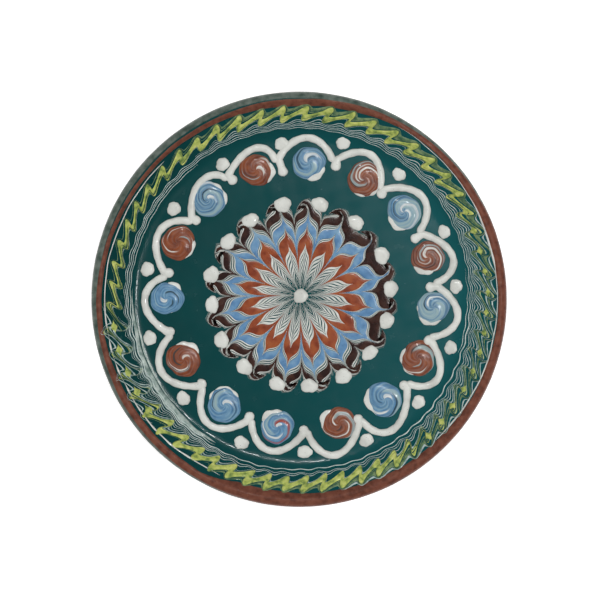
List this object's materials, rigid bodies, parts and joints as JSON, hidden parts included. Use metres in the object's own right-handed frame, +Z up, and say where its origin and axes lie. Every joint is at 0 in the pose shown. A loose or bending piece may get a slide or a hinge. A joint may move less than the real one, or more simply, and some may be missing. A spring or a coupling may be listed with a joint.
{
  "type": "decorated ceramic plate",
  "caption": "Round hand-thrown earthenware plate with a sloped flange and ring foot, coated in green slip and decorated with raised trailed and feathered slips.",
  "frame": {"origin": "centre of the foot ring's rest plane, on the dish's turning axis", "axes": "+Z up, out of the dish; +Y towards the top of the decoration; +X to its right when looking down into the dish"},
  "size_m": [0.21, 0.21, 0.0232],
  "materials": {
    "clay": "matt bare terracotta, fired",
    "green_slip": "glossy deep green under clear glaze",
    "brown_slip": "satin red-brown slip under clear glaze",
    "white_slip": "glossy off-white trailed slip",
    "yellow_slip": "glossy yellow-green trailed slip",
    "blue_slip": "glossy light blue slip",
    "rust_slip": "glossy rust-red slip",
    "dark_slip": "glossy dark brown slip"
  },
  "bodies": {
    "root": {"border_dot_01": "white_slip", "border_dot_02": "white_slip", "border_dot_03": "white_slip", "border_dot_04": "white_slip", "border_dot_05": "white_slip", "border_dot_06": "white_slip", "border_dot_07": "white_slip", "border_dot_08": "white_slip", "border_dot_09": "white_slip", "border_dot_10": "white_slip", "border_dot_11": "white_slip", "border_dot_12": "white_slip", "border_dot_13": "white_slip", "border_dot_14": "white_slip", "border_dot_15": "white_slip", "border_outer_line": "white_slip", "border_white_lines": "white_slip", "border_yellow_wave": "yellow_slip", "boss_01": "rust_slip", "boss_02": "blue_slip", "boss_03": "rust_slip", "boss_04": "blue_slip", "boss_05": "rust_slip", "boss_06": "blue_slip", "boss_07": "rust_slip", "boss_08": "blue_slip", "boss_09": "rust_slip", "boss_10": "blue_slip", "boss_11": "blue_slip", "boss_12": "rust_slip", "boss_13": "blue_slip", "boss_14": "rust_slip", "boss_15": "blue_slip", "brown_rim_band": "brown_slip", "clay_dish": "clay", "green_slip_coat": "green_slip", "outer_green_coat": "green_slip", "rosette_blue_slip": "blue_slip", "rosette_brown_slip": "dark_slip", "rosette_centre_dot": "white_slip", "rosette_dots": "white_slip", "rosette_fringe": "white_slip", "rosette_rust_slip": "rust_slip", "rosette_white_slip": "white_slip", "scallop_01": "white_slip", "scallop_02": "white_slip", "scallop_03": "white_slip", "scallop_04": "white_slip", "scallop_05": "white_slip", "scallop_06": "white_slip", "scallop_07": "white_slip", "scallop_08": "white_slip", "scallop_09": "white_slip", "scallop_10": "white_slip", "scallop_11": "white_slip", "scallop_12": "white_slip", "scallop_13": "white_slip", "scallop_14": "white_slip", "scallop_15": "white_slip"}
  },
  "joints": []
}
